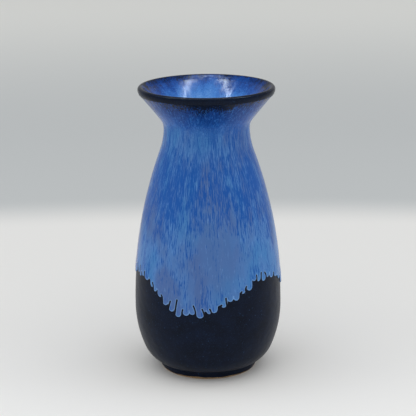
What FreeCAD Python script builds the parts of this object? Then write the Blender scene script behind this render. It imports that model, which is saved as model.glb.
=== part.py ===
"""Small glazed stoneware flower vase: a fired clay body and the four coats of glaze on it.

The clay body is one piece with its foot ring. Every coat is a skin of even thickness that fits the
surface under it: a satin base coat outside, a running coat over the upper part of that with a wavy
lower edge, a lining coat inside, and a coat in the recess under the foot. The base coat and the lining
meet on the crest of the lip. The lowest edge of the foot ring is wiped bare.

The sections are half outlines of tangent arcs, turned about Z. Surfaces parallel to the clay's outer
surface share its arcs' centres, so the same methods draw all of them from their distance to it.

Millimetres, +Z up, origin at the centre of the foot's resting face.
"""

import FreeCAD, Part
import math
import os
import Sketcher
from FreeCAD import Vector

SIZES = {
    "clay_height": 164.6,
    "mouth_radius": 38.2,
    "neck_radius": 23.4,
    "neck_height": 141.8,
    "belly_radius": 41.8,
    "belly_height": 37.8,
    "underside_height": 3.0,
    "foot_radius": 27.4,
    "foot_ring_width": 4.6,
    "foot_edge_round": 0.6,
    "recess_depth": 3.6,
    "wall": 3.7,
    "corner_bend": 17.0,
    "side_bend": 63.0,
    "low_neck_bend": 41.2,
    "high_neck_bend": 8.0,
    "flare_bend": 127.5,
    "lip_bend": 3.6,
    "lip_round": 1.3,
    "base_coat": 0.4,
    "running_coat": 0.4,
    "lining_coat": 0.4,
    "recess_coat": 0.3,
    "bare_foot_edge": 1.0,
    "lip_band": 5.6,
    "drip_height": 52.5,
    "drip_swing": 8.5,
    "drip_lean": 1.5,
    "drip_turn": -10.0,
}

SWAGS = 3
RING_POINTS = 24
FULL_TURN = 2 * math.pi
LOWEST = 1.5 * math.pi
START = 1
END = 2
CENTRE = 3
SKETCH_ORIGIN = (-1, 1)
VERTICAL_AXIS = -2


def make_sheet(doc):
    """Writes the driving sizes into a spreadsheet, each with its alias."""
    sheet = doc.addObject("Spreadsheet::Sheet", "sizes")
    for row, (alias, value) in enumerate(SIZES.items(), start=1):
        sheet.set(f"A{row}", alias)
        sheet.set(f"B{row}", str(value))
        sheet.setAlias(f"B{row}", alias)
    doc.recompute()
    return sheet


def angle_of(centre, point):
    """The direction from centre to point, from 0 to a full turn."""
    return math.atan2(point.y - centre.y, point.x - centre.x) % (2 * math.pi)


def outer_meeting(centre_a, radius_a, centre_b, radius_b):
    """Of the two points at these distances from two centres, the one farther from the vase's axis."""
    gap = centre_b - centre_a
    along = (radius_a**2 - radius_b**2 + gap.Length**2) / (2 * gap.Length)
    across = math.sqrt(radius_a**2 - along**2)
    middle = centre_a + gap * (along / gap.Length)
    step = Vector(-gap.y, gap.x, 0) * (across / gap.Length)
    return max((middle + step, middle - step), key=lambda point: point.x)


class Centres:
    """The centres of the section's arcs, in the sketch's plane: x is the radius and y the height."""

    def __init__(self, size):
        """Works the centres out from the sheet: each arc is tangent to the next."""
        self.side = Vector(size.belly_radius - size.side_bend, size.belly_height, 0)
        self.corner = self.find_corner(size)
        self.low_neck = Vector(size.neck_radius + size.low_neck_bend, size.neck_height, 0)
        self.high_neck = Vector(size.neck_radius + size.high_neck_bend, size.neck_height, 0)
        self.upper_bend = self.find_upper_bend(size)
        self.upper = Vector(size.belly_radius - self.upper_bend, size.belly_height, 0)
        lip_height = size.clay_height - size.lip_round
        self.lip = Vector(size.mouth_radius - size.lip_bend, lip_height, 0)
        self.crest = Vector(size.mouth_radius - size.lip_round, lip_height, 0)
        reach = size.flare_bend - size.high_neck_bend
        self.flare = outer_meeting(self.high_neck, reach, self.lip, size.flare_bend + size.lip_bend)
        inner_bend = size.flare_bend + size.wall
        self.throat = outer_meeting(self.high_neck, reach, self.crest, inner_bend - size.lip_round)

    def find_corner(self, size):
        """The corner arc is level with the underside and touches the side arc."""
        level = size.underside_height + size.corner_bend
        reach = size.side_bend - size.corner_bend
        across = math.sqrt(reach**2 - (self.side.y - level) ** 2)
        return Vector(self.side.x + across, level, 0)

    def find_upper_bend(self, size):
        """The upper arc is upright at the belly and touches the low neck arc from outside."""
        across = self.low_neck.x - size.belly_radius
        rise = self.low_neck.y - size.belly_height
        bend = size.low_neck_bend
        return (bend**2 - across**2 - rise**2) / (2 * (across - bend))


class Section:
    """A half section: a sketch on the body's XZ plane whose dimensions follow the sheet.

    An offset is a distance outwards from the clay's outer surface, written in the sheet's aliases.
    """

    def __init__(self, body, sheet):
        """Attaches an empty sketch to the body's own plane."""
        self.body = body
        self.size = sheet
        self.at = Centres(sheet)
        self.sketch = body.newObject("Sketcher::SketchObject", body.Name + "_section")
        plane = next(item for item in body.Origin.OriginFeatures if item.Role == "XZ_Plane")
        self.sketch.AttachmentSupport = [(plane, "")]
        self.sketch.MapMode = "FlatFace"

    def value(self, expression):
        """What an expression of the sheet's aliases comes to now."""
        return float(self.sketch.evalExpression(expression))

    def tie(self, kind, places, expression):
        """Adds a dimension that follows an expression of the sheet's aliases."""
        dimension = Sketcher.Constraint(kind, *places, self.value(expression))
        index = self.sketch.addConstraint(dimension)
        self.sketch.setExpression(f"Constraints[{index}]", expression)

    def tie_height(self, edge, point, expression):
        """Ties the height of one of an edge's points."""
        self.tie("DistanceY", (*SKETCH_ORIGIN, edge, point), expression)

    def tie_reach(self, edge, point, expression):
        """Ties the distance from the axis of one of an edge's points."""
        self.tie("DistanceX", (*SKETCH_ORIGIN, edge, point), expression)

    def join(self, kind, edge_a, point_a, edge_b, point_b):
        """Joins the ends of two edges, as a corner (Coincident) or smoothly (Tangent)."""
        self.sketch.addConstraint(Sketcher.Constraint(kind, edge_a, point_a, edge_b, point_b))

    def lock(self, kind, edge):
        """Makes a straight edge Horizontal or Vertical."""
        self.sketch.addConstraint(Sketcher.Constraint(kind, edge))

    def plain_arc(self, centre, radius, first, last, construction=False):
        """Adds an arc that turns anticlockwise from one direction to another."""
        circle = Part.Circle(centre, Vector(0, 0, 1), radius)
        return self.sketch.addGeometry(Part.ArcOfCircle(circle, first, last), construction)

    def arc(self, centre, expression, first, last, construction=False):
        """Adds an arc and ties its radius."""
        index = self.plain_arc(centre, self.value(expression), first, last, construction)
        self.tie("Radius", (index,), expression)
        return index

    def segment(self, start, end):
        """Adds a straight edge that nothing holds yet."""
        return self.sketch.addGeometry(Part.LineSegment(start, end), False)

    def closing_line(self, edge_a, point_a, edge_b, point_b):
        """Adds a straight edge between the ends of two others."""
        line = self.segment(self.sketch.getPoint(edge_a, point_a), self.sketch.getPoint(edge_b, point_b))
        self.join("Coincident", line, START, edge_a, point_a)
        self.join("Coincident", line, END, edge_b, point_b)
        return line

    def side_arc(self, offset, first):
        """Adds the arc below the belly, upright at its upper end."""
        arc = self.arc(self.at.side, f"sizes.side_bend + {offset}", first, FULL_TURN)
        self.tie_height(arc, CENTRE, "sizes.belly_height")
        self.tie_height(arc, END, "sizes.belly_height")
        self.tie_reach(arc, END, f"sizes.belly_radius + {offset}")
        return arc

    def low_arcs(self, offset, first):
        """Adds the corner and side arcs, and returns both."""
        contact = angle_of(self.at.side, self.at.corner)
        corner = self.arc(self.at.corner, f"sizes.corner_bend + {offset}", first, contact)
        side = self.side_arc(offset, contact)
        self.tie_height(corner, CENTRE, "sizes.underside_height + sizes.corner_bend")
        self.join("Tangent", corner, END, side, START)
        return corner, side

    def neck_arcs(self, offset, side):
        """Adds the arcs from the belly to the narrowest part of the neck, and returns the last."""
        contact = angle_of(self.at.upper, self.at.low_neck)
        bend = self.at.upper_bend + self.value(f"0 + {offset}")
        upper = self.plain_arc(self.at.upper, bend, 0, contact)
        low_neck_bend = f"sizes.low_neck_bend - ({offset})"
        neck = self.arc(self.at.low_neck, low_neck_bend, math.pi, math.pi + contact)
        self.join("Tangent", side, END, upper, START)
        self.tie_height(neck, CENTRE, "sizes.neck_height")
        self.tie_height(neck, START, "sizes.neck_height")
        self.tie_reach(neck, START, f"sizes.neck_radius + {offset}")
        self.join("Tangent", upper, END, neck, END)
        return neck

    def mouth_arcs(self, offset, neck, lip_is_guide=False):
        """Adds the outer arcs from the neck to the outermost point of the lip: flare and lip."""
        at = self.at
        turn = angle_of(at.flare, at.high_neck)
        contact = angle_of(at.flare, at.lip)
        high_neck = self.arc(at.high_neck, f"sizes.high_neck_bend - ({offset})", turn, math.pi)
        flare = self.arc(at.flare, f"sizes.flare_bend - ({offset})", contact, turn)
        lip_bend = f"sizes.lip_bend + {offset}"
        lip = self.arc(at.lip, lip_bend, contact + math.pi, FULL_TURN, lip_is_guide)
        self.join("Tangent", neck, START, high_neck, END)
        self.join("Tangent", high_neck, START, flare, END)
        self.tie_height(lip, CENTRE, "sizes.clay_height - sizes.lip_round")
        self.tie_height(lip, END, "sizes.clay_height - sizes.lip_round")
        self.tie_reach(lip, END, f"sizes.mouth_radius + {offset}")
        self.join("Tangent", flare, START, lip, START)
        return flare, lip

    def crest_arc(self, offset, first, last):
        """Adds an arc over the crest of the lip."""
        return self.arc(self.at.crest, f"sizes.lip_round + {offset}", first, last)

    def throat_arcs(self, depth, crest, neck):
        """Adds the inner arcs between the crest and the neck, at a depth outside the clay."""
        at = self.at
        contact = angle_of(at.throat, at.crest)
        turn = angle_of(at.throat, at.high_neck)
        inner_bend = f"sizes.flare_bend + sizes.wall + {depth}"
        flare = self.arc(at.throat, inner_bend, contact, turn)
        neck_bend = f"sizes.high_neck_bend + sizes.wall + {depth}"
        high_neck = self.arc(at.high_neck, neck_bend, turn, math.pi)
        self.join("Tangent", crest, END, flare, START)
        self.join("Tangent", flare, END, high_neck, START)
        self.join("Tangent", high_neck, END, neck, START)

    def inner_arcs(self, depth, crest):
        """Adds the inside of the vase, from the crest down to the floor's line on the axis."""
        offset = f"(-sizes.wall - {depth})"
        corner, side = self.low_arcs(offset, LOWEST)
        neck = self.neck_arcs(offset, side)
        self.throat_arcs(depth, crest, neck)
        lowest = self.sketch.getPoint(corner, START)
        floor = self.segment(Vector(0, lowest.y, 0), lowest)
        self.sketch.addConstraint(Sketcher.Constraint("Vertical", corner, START, corner, CENTRE))
        self.join("Coincident", floor, END, corner, START)
        self.lock("Horizontal", floor)
        self.sketch.addConstraint(Sketcher.Constraint("PointOnObject", floor, START, VERTICAL_AXIS))
        return floor

    def foot_wall(self, offset, low):
        """Adds the upright outside of the foot ring with the corner and side arcs above it."""
        reach = self.value(f"sizes.foot_radius + {offset}")
        bend = self.value(f"sizes.corner_bend + {offset}")
        first = LOWEST + math.asin((reach - self.at.corner.x) / bend)
        corner, side = self.low_arcs(offset, first)
        wall = self.segment(Vector(reach, self.value(low), 0), self.sketch.getPoint(corner, START))
        self.tie_reach(wall, START, f"sizes.foot_radius + {offset}")
        self.tie_height(wall, START, low)
        self.lock("Vertical", wall)
        self.join("Coincident", wall, END, corner, START)
        return wall, side

    def revolve(self):
        """Turns the section about the vase's axis."""
        turned = self.body.newObject("PartDesign::Revolution", self.body.Name + "_turned")
        turned.Profile = self.sketch
        turned.ReferenceAxis = (self.sketch, ["V_Axis"])
        turned.Angle = 360
        self.sketch.Visibility = False


def make_body(doc, name):
    """Adds an empty body whose label is the name of its file."""
    body = doc.addObject("PartDesign::Body", name)
    body.Label = name
    return body


def add_foot_ring(section, foot_wall):
    """Draws the foot ring's rounded resting edge, its inner side and the recess's ceiling."""
    size = section.size
    outer = size.foot_radius
    inner = outer - size.foot_ring_width
    edge = size.foot_edge_round
    ceiling = section.segment(Vector(0, size.recess_depth, 0), Vector(inner, size.recess_depth, 0))
    inner_side = section.segment(Vector(inner, size.recess_depth, 0), Vector(inner, edge, 0))
    inner_edge = section.arc(Vector(inner + edge, edge, 0), "sizes.foot_edge_round", math.pi, LOWEST)
    face = section.segment(Vector(inner + edge, 0, 0), Vector(outer - edge, 0, 0))
    outer_edge = section.arc(
        Vector(outer - edge, edge, 0), "sizes.foot_edge_round", LOWEST, FULL_TURN
    )
    section.sketch.addConstraint(Sketcher.Constraint("PointOnObject", ceiling, START, VERTICAL_AXIS))
    section.lock("Horizontal", ceiling)
    section.tie_height(ceiling, END, "sizes.recess_depth")
    section.tie_reach(ceiling, END, "sizes.foot_radius - sizes.foot_ring_width")
    section.join("Coincident", inner_side, START, ceiling, END)
    section.lock("Vertical", inner_side)
    section.join("Tangent", inner_side, END, inner_edge, START)
    section.join("Tangent", inner_edge, END, face, START)
    section.lock("Horizontal", face)
    section.join("Tangent", face, END, outer_edge, START)
    section.join("Tangent", outer_edge, END, foot_wall, START)
    return ceiling


def make_stoneware_body(doc, sheet):
    """The fired clay: wall, floor, foot ring and lip in one piece."""
    section = Section(make_body(doc, "stoneware_body"), sheet)
    foot_wall, side = section.foot_wall("0", "sizes.foot_edge_round")
    lip = section.mouth_arcs("0", section.neck_arcs("0", side))[1]
    crest = section.crest_arc("0", 0, angle_of(section.at.throat, section.at.crest))
    section.join("Tangent", lip, END, crest, START)
    floor = section.inner_arcs("0", crest)
    ceiling = add_foot_ring(section, foot_wall)
    section.closing_line(floor, START, ceiling, START)
    section.revolve()
    return section


def make_base_glaze(doc, sheet):
    """The satin base coat: from above the bare foot edge up to the crest of the lip."""
    section = Section(make_body(doc, "base_glaze"), sheet)
    low_ends = []
    high_ends = []
    for offset in ("0", "sizes.base_coat"):
        foot_wall, side = section.foot_wall(offset, "sizes.bare_foot_edge")
        lip = section.mouth_arcs(offset, section.neck_arcs(offset, side))[1]
        crest = section.crest_arc(offset, 0, math.pi / 2)
        section.join("Tangent", lip, END, crest, START)
        section.tie_reach(crest, END, "sizes.mouth_radius - sizes.lip_round")
        low_ends.append(foot_wall)
        high_ends.append(crest)
    section.closing_line(low_ends[0], START, low_ends[1], START)
    section.closing_line(high_ends[0], END, high_ends[1], END)
    section.revolve()
    return section


def make_lining_glaze(doc, sheet):
    """The lining coat: from the crest of the lip down the inside and over the floor."""
    section = Section(make_body(doc, "lining_glaze"), sheet)
    floors = []
    crests = []
    for depth in ("0", "sizes.lining_coat"):
        last = angle_of(section.at.throat, section.at.crest)
        crest = section.crest_arc(depth, math.pi / 2, last)
        section.tie_height(crest, CENTRE, "sizes.clay_height - sizes.lip_round")
        section.tie_reach(crest, CENTRE, "sizes.mouth_radius - sizes.lip_round")
        section.tie_reach(crest, START, "sizes.mouth_radius - sizes.lip_round")
        floors.append(section.inner_arcs(depth, crest))
        crests.append(crest)
    section.closing_line(floors[0], START, floors[1], START)
    section.closing_line(crests[0], START, crests[1], START)
    section.revolve()
    return section


def make_running_skin(doc, sheet):
    """A skin on the base coat from the low side to the lip, before its edges are cut."""
    section = Section(make_body(doc, "running_skin"), sheet)
    low = "sizes.underside_height + sizes.corner_bend"
    low_ends = []
    high_ends = []
    for offset in ("sizes.base_coat", "(sizes.base_coat + sizes.running_coat)"):
        drop = sheet.belly_height - section.value(low)
        bend = section.value(f"sizes.side_bend + {offset}")
        side = section.side_arc(offset, FULL_TURN - math.asin(drop / bend))
        section.tie_height(side, START, low)
        flare = section.mouth_arcs(offset, section.neck_arcs(offset, side), lip_is_guide=True)[0]
        low_ends.append(side)
        high_ends.append(flare)
    section.closing_line(low_ends[0], START, low_ends[1], START)
    section.closing_line(high_ends[0], START, high_ends[1], START)
    section.revolve()
    return section


def drip_level(sheet, angle):
    """The drip line's height at an angle from the front: it hangs in equal swags, lowest near the front."""
    turn = angle - math.radians(sheet.drip_turn)
    return sheet.drip_height - sheet.drip_swing * math.cos(SWAGS * turn) - sheet.drip_lean * math.cos(turn)


def drip_ring(sheet, radius):
    """A closed wavy curve at the drip line's heights, at one distance from the axis."""
    angles = [FULL_TURN * step / RING_POINTS for step in range(RING_POINTS + 1)]
    points = []
    for angle in angles[:-1]:
        around = angle - FULL_TURN / 4
        level = drip_level(sheet, angle)
        points.append(Vector(radius * math.cos(around), radius * math.sin(around), level))
    curve = Part.BSplineCurve()
    curve.interpolate(Points=points, PeriodicFlag=True, Parameters=angles)
    return curve.toShape()


def make_drip_cutter(doc, sheet):
    """The space under the drip line: a wavy ring that reaches below the foot."""
    cutter = doc.addObject("Part::Feature", "drip_cutter")
    inner_ring = drip_ring(sheet, sheet.foot_radius / 2)
    outer_ring = drip_ring(sheet, 2 * sheet.belly_radius)
    surface = Part.makeRuledSurface(inner_ring, outer_ring)
    cutter.Shape = surface.extrude(Vector(0, 0, -2 * sheet.drip_height))
    cutter.Placement = FreeCAD.Placement()
    return cutter


def make_lip_cutter(doc):
    """The space above the running coat's upper edge."""
    cutter = doc.addObject("Part::Cylinder", "lip_cutter")
    cutter.setExpression("Radius", "2 * sizes.mouth_radius")
    cutter.setExpression("Height", "2 * sizes.lip_band")
    cutter.setExpression("Placement.Base.z", "sizes.clay_height - sizes.lip_band")
    return cutter


def make_cut(doc, name, base, tool):
    """Cuts one shape from another."""
    cut = doc.addObject("Part::Cut", name)
    cut.Label = name
    cut.Base = base
    cut.Tool = tool
    return cut


def make_recess_glaze(doc):
    """The disc of glaze on the recess's ceiling, inside the foot ring."""
    disc = doc.addObject("Part::Cylinder", "recess_glaze")
    disc.Label = "recess_glaze"
    disc.setExpression("Radius", "sizes.foot_radius - sizes.foot_ring_width")
    disc.setExpression("Height", "sizes.recess_coat")
    disc.setExpression("Placement.Base.z", "sizes.recess_depth - sizes.recess_coat")
    return disc


def check(doc, sections, parts):
    """Stops if an object failed, a section isn't fixed by its sizes, or a part isn't one sound solid."""
    for item in doc.Objects:
        if "Invalid" in item.State or "Error" in item.State:
            raise RuntimeError(f"{item.Label} did not recompute: {item.State}")
    for section in sections:
        free = section.sketch.solve()
        if free != 0 or not section.sketch.FullyConstrained:
            raise RuntimeError(f"{section.sketch.Label} is not fixed by its sizes")
    for part in parts:
        if part.Shape.isNull() or not part.Shape.isValid():
            raise RuntimeError(f"{part.Label} has no valid shape")
        if len(part.Shape.Solids) != 1:
            raise RuntimeError(f"{part.Label} has {len(part.Shape.Solids)} solids")


def main():
    """Builds the vase and writes each part's solid."""
    doc = FreeCAD.newDocument("flower_vase")
    sheet = make_sheet(doc)
    clay = make_stoneware_body(doc, sheet)
    base = make_base_glaze(doc, sheet)
    lining = make_lining_glaze(doc, sheet)
    skin = make_running_skin(doc, sheet)
    doc.recompute()
    below_lip = make_cut(doc, "running_skin_below_lip", skin.body, make_lip_cutter(doc))
    running = make_cut(doc, "running_glaze", below_lip, make_drip_cutter(doc, sheet))
    recess = make_recess_glaze(doc)
    doc.recompute()
    parts = [clay.body, base.body, lining.body, running, recess]
    check(doc, [clay, base, lining, skin], parts)
    os.makedirs("parts", exist_ok=True)
    for part in parts:
        part.Shape.exportStep(f"parts/{part.Label}.step")
        box = part.Shape.BoundBox
        print(
            f"{part.Label}: {part.Shape.Volume:.1f} mm3,"
            f" radius {box.XMax:.2f}, z {box.ZMin:.2f} to {box.ZMax:.2f}"
        )


main()
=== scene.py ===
"""Small glazed stoneware flower vase: the looks.

The clay is one fired piece. A satin navy coat covers its outside, a glossy blue coat has run down over
that and stopped in separate runs, a blue lining covers its inside, and a thin coat lies in the recess
under the foot. Each coat is its own closed piece, as thick as it is laid on.

Lengths in the classes are millimetres, and meshes are in metres.
"""

import logging
import math
import random
from collections.abc import Callable
from dataclasses import dataclass, field
from enum import Enum

import bpy
import numpy as np
from mathutils import Matrix, Vector


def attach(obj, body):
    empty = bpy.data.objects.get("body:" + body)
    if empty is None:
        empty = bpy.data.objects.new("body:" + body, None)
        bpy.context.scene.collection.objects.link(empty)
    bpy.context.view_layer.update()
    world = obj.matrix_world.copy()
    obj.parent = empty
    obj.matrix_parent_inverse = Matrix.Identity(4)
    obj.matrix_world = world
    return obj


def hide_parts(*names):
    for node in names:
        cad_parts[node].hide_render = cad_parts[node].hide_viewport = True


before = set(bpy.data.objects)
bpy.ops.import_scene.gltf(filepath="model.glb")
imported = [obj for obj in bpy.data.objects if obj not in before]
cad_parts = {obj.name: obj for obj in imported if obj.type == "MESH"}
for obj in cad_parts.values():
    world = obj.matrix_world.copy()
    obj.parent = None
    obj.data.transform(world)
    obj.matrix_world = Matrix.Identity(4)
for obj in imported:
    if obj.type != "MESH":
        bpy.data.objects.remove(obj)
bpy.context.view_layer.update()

log = logging.getLogger("flower_vase")

MM = 0.001
CIRCLE = 36  # the radius, in mm, of the circle that the coats are unrolled round
BODY = "root"


class Layer(Enum):
    """The vase's pieces, each with the CAD node that it stands for and its material slot."""

    CLAY = ("stoneware_body", "stoneware")
    BASE = ("base_glaze", "navy_satin_glaze")
    RUNNING = ("running_glaze", "blue_running_glaze")
    LINING = ("lining_glaze", "blue_lining_glaze")
    RECESS = ("recess_glaze", "navy_recess_glaze")

    @property
    def node(self) -> str:
        """The CAD node's name."""
        return self.value[0]

    @property
    def slot(self) -> str:
        """The record's material slot."""
        return self.value[1]


# ---------------------------------------------------------------- the vase's outline


@dataclass(frozen=True)
class Arc:
    """One arc of the half section: x is the distance from the axis and y the height."""

    x: float
    y: float
    bend: float
    first: float
    last: float
    bulges: bool

    def sample(self, offset: float, step: float) -> list[tuple[float, float]]:
        """Points along the arc, moved away from the clay.

        Args:
            offset: how far outwards from the clay's surface, which is inwards for the inner side.
            step: the distance between points.

        Returns:
            The points in the order of the outline, without the last one.
        """
        bend = self.bend + (offset if self.bulges else -offset)
        count = max(2, math.ceil(abs(self.last - self.first) * bend / step))
        turns = np.linspace(self.first, self.last, count, endpoint=False)
        return [(self.x + bend * math.cos(turn), self.y + bend * math.sin(turn)) for turn in turns]


@dataclass
class Outline:
    """The clay's half section as tangent arcs, from the foot over the lip to the floor inside."""

    clay_height: float = 164.6
    mouth_radius: float = 38.2
    neck_radius: float = 23.4
    neck_height: float = 141.8
    belly_radius: float = 41.8
    belly_height: float = 37.8
    underside_height: float = 3.0
    foot_radius: float = 27.4
    foot_ring_width: float = 4.6
    recess_depth: float = 3.6
    wall: float = 3.7
    corner_bend: float = 17.0
    side_bend: float = 63.0
    low_neck_bend: float = 41.2
    high_neck_bend: float = 8.0
    flare_bend: float = 127.5
    lip_bend: float = 3.6
    lip_round: float = 1.3
    outer: list[Arc] = field(init=False)
    crest: Arc = field(init=False)
    inner: list[Arc] = field(init=False)

    def __post_init__(self) -> None:
        """Places the arcs so that each touches the next."""
        side = np.array([self.belly_radius - self.side_bend, self.belly_height])
        level = self.underside_height + self.corner_bend
        reach = self.side_bend - self.corner_bend
        corner = np.array([side[0] + math.sqrt(reach**2 - (side[1] - level) ** 2), level])
        low_neck = np.array([self.neck_radius + self.low_neck_bend, self.neck_height])
        high_neck = np.array([self.neck_radius + self.high_neck_bend, self.neck_height])
        across, rise = low_neck - (self.belly_radius, self.belly_height)
        bend = self.low_neck_bend
        upper_bend = (bend**2 - across**2 - rise**2) / (2 * (across - bend))
        upper = np.array([self.belly_radius - upper_bend, self.belly_height])
        lip = np.array([self.mouth_radius - self.lip_bend, self.clay_height - self.lip_round])
        crest = np.array([self.mouth_radius - self.lip_round, lip[1]])
        reach = self.flare_bend - self.high_neck_bend
        flare = self.meeting(high_neck, reach, lip, self.flare_bend + self.lip_bend)
        inner_flare = self.flare_bend + self.wall
        throat = self.meeting(high_neck, reach, crest, inner_flare - self.lip_round)
        foot = -math.pi / 2 + math.asin((self.foot_radius - corner[0]) / self.corner_bend)
        into_side = self.angle(side, corner)
        into_neck = self.angle(upper, low_neck)
        into_flare = self.angle(flare, high_neck)
        into_lip = self.angle(flare, lip)
        into_throat = self.angle(throat, high_neck)
        over_crest = self.angle(throat, crest)
        half = math.pi
        self.outer = [
            Arc(*corner, self.corner_bend, foot, into_side, True),
            Arc(*side, self.side_bend, into_side, 0, True),
            Arc(*upper, upper_bend, 0, into_neck, True),
            Arc(*low_neck, self.low_neck_bend, half + into_neck, half, False),
            Arc(*high_neck, self.high_neck_bend, half, into_flare, False),
            Arc(*flare, self.flare_bend, into_flare, into_lip, False),
            Arc(*lip, self.lip_bend, into_lip - half, 0, True),
        ]
        self.crest = Arc(*crest, self.lip_round, 0, over_crest, True)
        wall = self.wall
        self.inner = [
            Arc(*throat, inner_flare, over_crest, into_throat, True),
            Arc(*high_neck, self.high_neck_bend + wall, into_throat, half, True),
            Arc(*low_neck, self.low_neck_bend + wall, half, half + into_neck, True),
            Arc(*upper, upper_bend - wall, into_neck, 0, False),
            Arc(*side, self.side_bend - wall, 0, into_side, False),
            Arc(*corner, self.corner_bend - wall, into_side, -half / 2, False),
        ]

    @staticmethod
    def angle(centre: np.ndarray, point: np.ndarray) -> float:
        """The direction from one point to another."""
        return math.atan2(point[1] - centre[1], point[0] - centre[0])

    @staticmethod
    def meeting(a: np.ndarray, reach_a: float, b: np.ndarray, reach_b: float) -> np.ndarray:
        """The point at these distances from two others that lies farther from the vase's axis."""
        gap = b - a
        length = float(np.hypot(*gap))
        along = (reach_a**2 - reach_b**2 + length**2) / (2 * length)
        across = math.sqrt(reach_a**2 - along**2)
        step = np.array([-gap[1], gap[0]]) * (across / length)
        middle = a + gap * (along / length)
        return max(middle + step, middle - step, key=lambda point: point[0])

    def outside(self, offset: float, step: float) -> np.ndarray:
        """The outer line from the foot ring's top to the lip's widest point.

        Args:
            offset: the distance from the clay.
            step: the distance between points.

        Returns:
            An array of points, one row each.
        """
        rows = [point for arc in self.outer for point in arc.sample(offset, step)]
        rows[0] = (self.foot_radius + offset, rows[0][1])
        return np.array(rows)

    def over_lip(self, offset: float, step: float) -> np.ndarray:
        """The line over the crest of the lip, from its widest point to the start of the throat."""
        return np.array(self.crest.sample(offset, step))

    def inside(self, offset: float, step: float) -> np.ndarray:
        """The inner line from the throat's start to the edge of the flat floor."""
        rows = [point for arc in self.inner for point in arc.sample(offset, step)]
        corner = self.inner[-1]
        rows.append((corner.x, corner.y - corner.bend + offset))
        return np.array(rows)

    def whole_line(self) -> np.ndarray:
        """The clay's line from the foot over the lip to the middle of the floor inside."""
        rows = np.vstack([self.outside(0, 1), self.over_lip(0, 0.25), self.inside(0, 1)])
        return np.vstack([rows, (0, rows[-1][1])])

    @staticmethod
    def lengths(line: np.ndarray) -> np.ndarray:
        """How far along a line each of its points is."""
        return np.concatenate([[0], np.cumsum(np.hypot(*np.diff(line, axis=0).T))])

    def length_to_crest(self) -> float:
        """How far along the whole line its highest point is."""
        line = self.whole_line()
        return float(self.lengths(line)[line[:, 1].argmax()])


# ---------------------------------------------------------------- modelling with Blender's operators


def deselect_all() -> None:
    """Leaves object mode with nothing selected."""
    if bpy.context.object and bpy.context.object.mode != "OBJECT":
        bpy.ops.object.mode_set(mode="OBJECT")
    bpy.ops.object.select_all(action="DESELECT")


def points_of(piece: bpy.types.Object) -> np.ndarray:
    """The piece's vertices in millimetres, one row each."""
    rows = np.zeros(len(piece.data.vertices) * 3)
    piece.data.vertices.foreach_get("co", rows)
    return rows.reshape(-1, 3) / MM


def place_points(piece: bpy.types.Object, rows: np.ndarray) -> None:
    """Moves the piece's vertices to these places in millimetres."""
    piece.data.vertices.foreach_set("co", (rows * MM).astype(np.float32).ravel())
    piece.data.update()


def store(piece: bpy.types.Object, name: str, values: np.ndarray) -> None:
    """Keeps one number, or one row of three, for each vertex as an attribute that materials read."""
    kind, key = ("FLOAT", "value") if values.ndim == 1 else ("FLOAT_VECTOR", "vector")
    kept = piece.data.attributes.new(name, kind, "POINT")
    kept.data.foreach_set(key, values.astype(np.float32).ravel())


def select_faces(piece: bpy.types.Object, chosen: Callable[[bpy.types.MeshPolygon], bool]) -> None:
    """Goes into edit mode with only the chosen faces selected.

    Args:
        piece: the active object, in object mode.
        chosen: says whether a face is wanted.
    """
    bpy.ops.object.mode_set(mode="EDIT")
    bpy.ops.mesh.select_mode(type="FACE")
    bpy.ops.mesh.select_all(action="DESELECT")
    bpy.ops.object.mode_set(mode="OBJECT")
    for face in piece.data.polygons:
        face.select = chosen(face)
    bpy.ops.object.mode_set(mode="EDIT")


def leave_faces() -> None:
    """Leaves edit mode, with vertices the ones to be picked again."""
    bpy.ops.mesh.select_mode(type="VERT")
    bpy.ops.object.mode_set(mode="OBJECT")


def tidy_shell(piece: bpy.types.Object, smooth_angle: float = 50) -> None:
    """Merges doubles, turns the faces outwards and smooths all but the sharp edges."""
    deselect_all()
    bpy.context.view_layer.objects.active = piece
    piece.select_set(True)
    bpy.ops.object.mode_set(mode="EDIT")
    bpy.ops.mesh.select_all(action="SELECT")
    bpy.ops.mesh.remove_doubles(threshold=0.004 * MM)
    bpy.ops.mesh.normals_make_consistent(inside=False)
    bpy.ops.object.mode_set(mode="OBJECT")
    bpy.ops.object.shade_smooth_by_angle(angle=math.radians(smooth_angle))


def turn_profile(name: str, rows: np.ndarray, steps: int) -> bpy.types.Object:
    """Draws a closed half section point by point and spins it about the vase's axis.

    Args:
        name: the piece's name.
        rows: the section's points in millimetres, distance from the axis and height, in order.
        steps: how many facets go round.

    Returns:
        The closed, smooth piece.
    """
    deselect_all()
    places = [Vector((x * MM, 0, y * MM)) for x, y in rows]
    bpy.ops.mesh.primitive_plane_add(size=MM, location=places[0])
    piece = bpy.context.object
    piece.name = piece.data.name = name
    bpy.ops.object.transform_apply(location=True, rotation=False, scale=False)
    bpy.ops.object.mode_set(mode="EDIT")
    bpy.ops.mesh.select_all(action="SELECT")
    bpy.ops.mesh.merge(type="CENTER")
    for before, after in zip(places, places[1:]):
        bpy.ops.mesh.extrude_region_move(TRANSFORM_OT_translate={"value": after - before})
    on_axis = rows[0][0] < 1e-6 and rows[-1][0] < 1e-6
    bpy.ops.mesh.select_all(action="SELECT")
    if not on_axis:
        bpy.ops.mesh.select_all(action="DESELECT")
        bpy.ops.object.mode_set(mode="OBJECT")
        for index in (0, len(rows) - 1):
            piece.data.vertices[index].select = True
        bpy.ops.object.mode_set(mode="EDIT")
        bpy.ops.mesh.edge_face_add()
        bpy.ops.mesh.select_all(action="SELECT")
    bpy.ops.mesh.spin(steps=steps, angle=2 * math.pi, center=(0, 0, 0), axis=(0, 0, 1))
    bpy.ops.object.mode_set(mode="OBJECT")
    tidy_shell(piece)
    return piece


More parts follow.
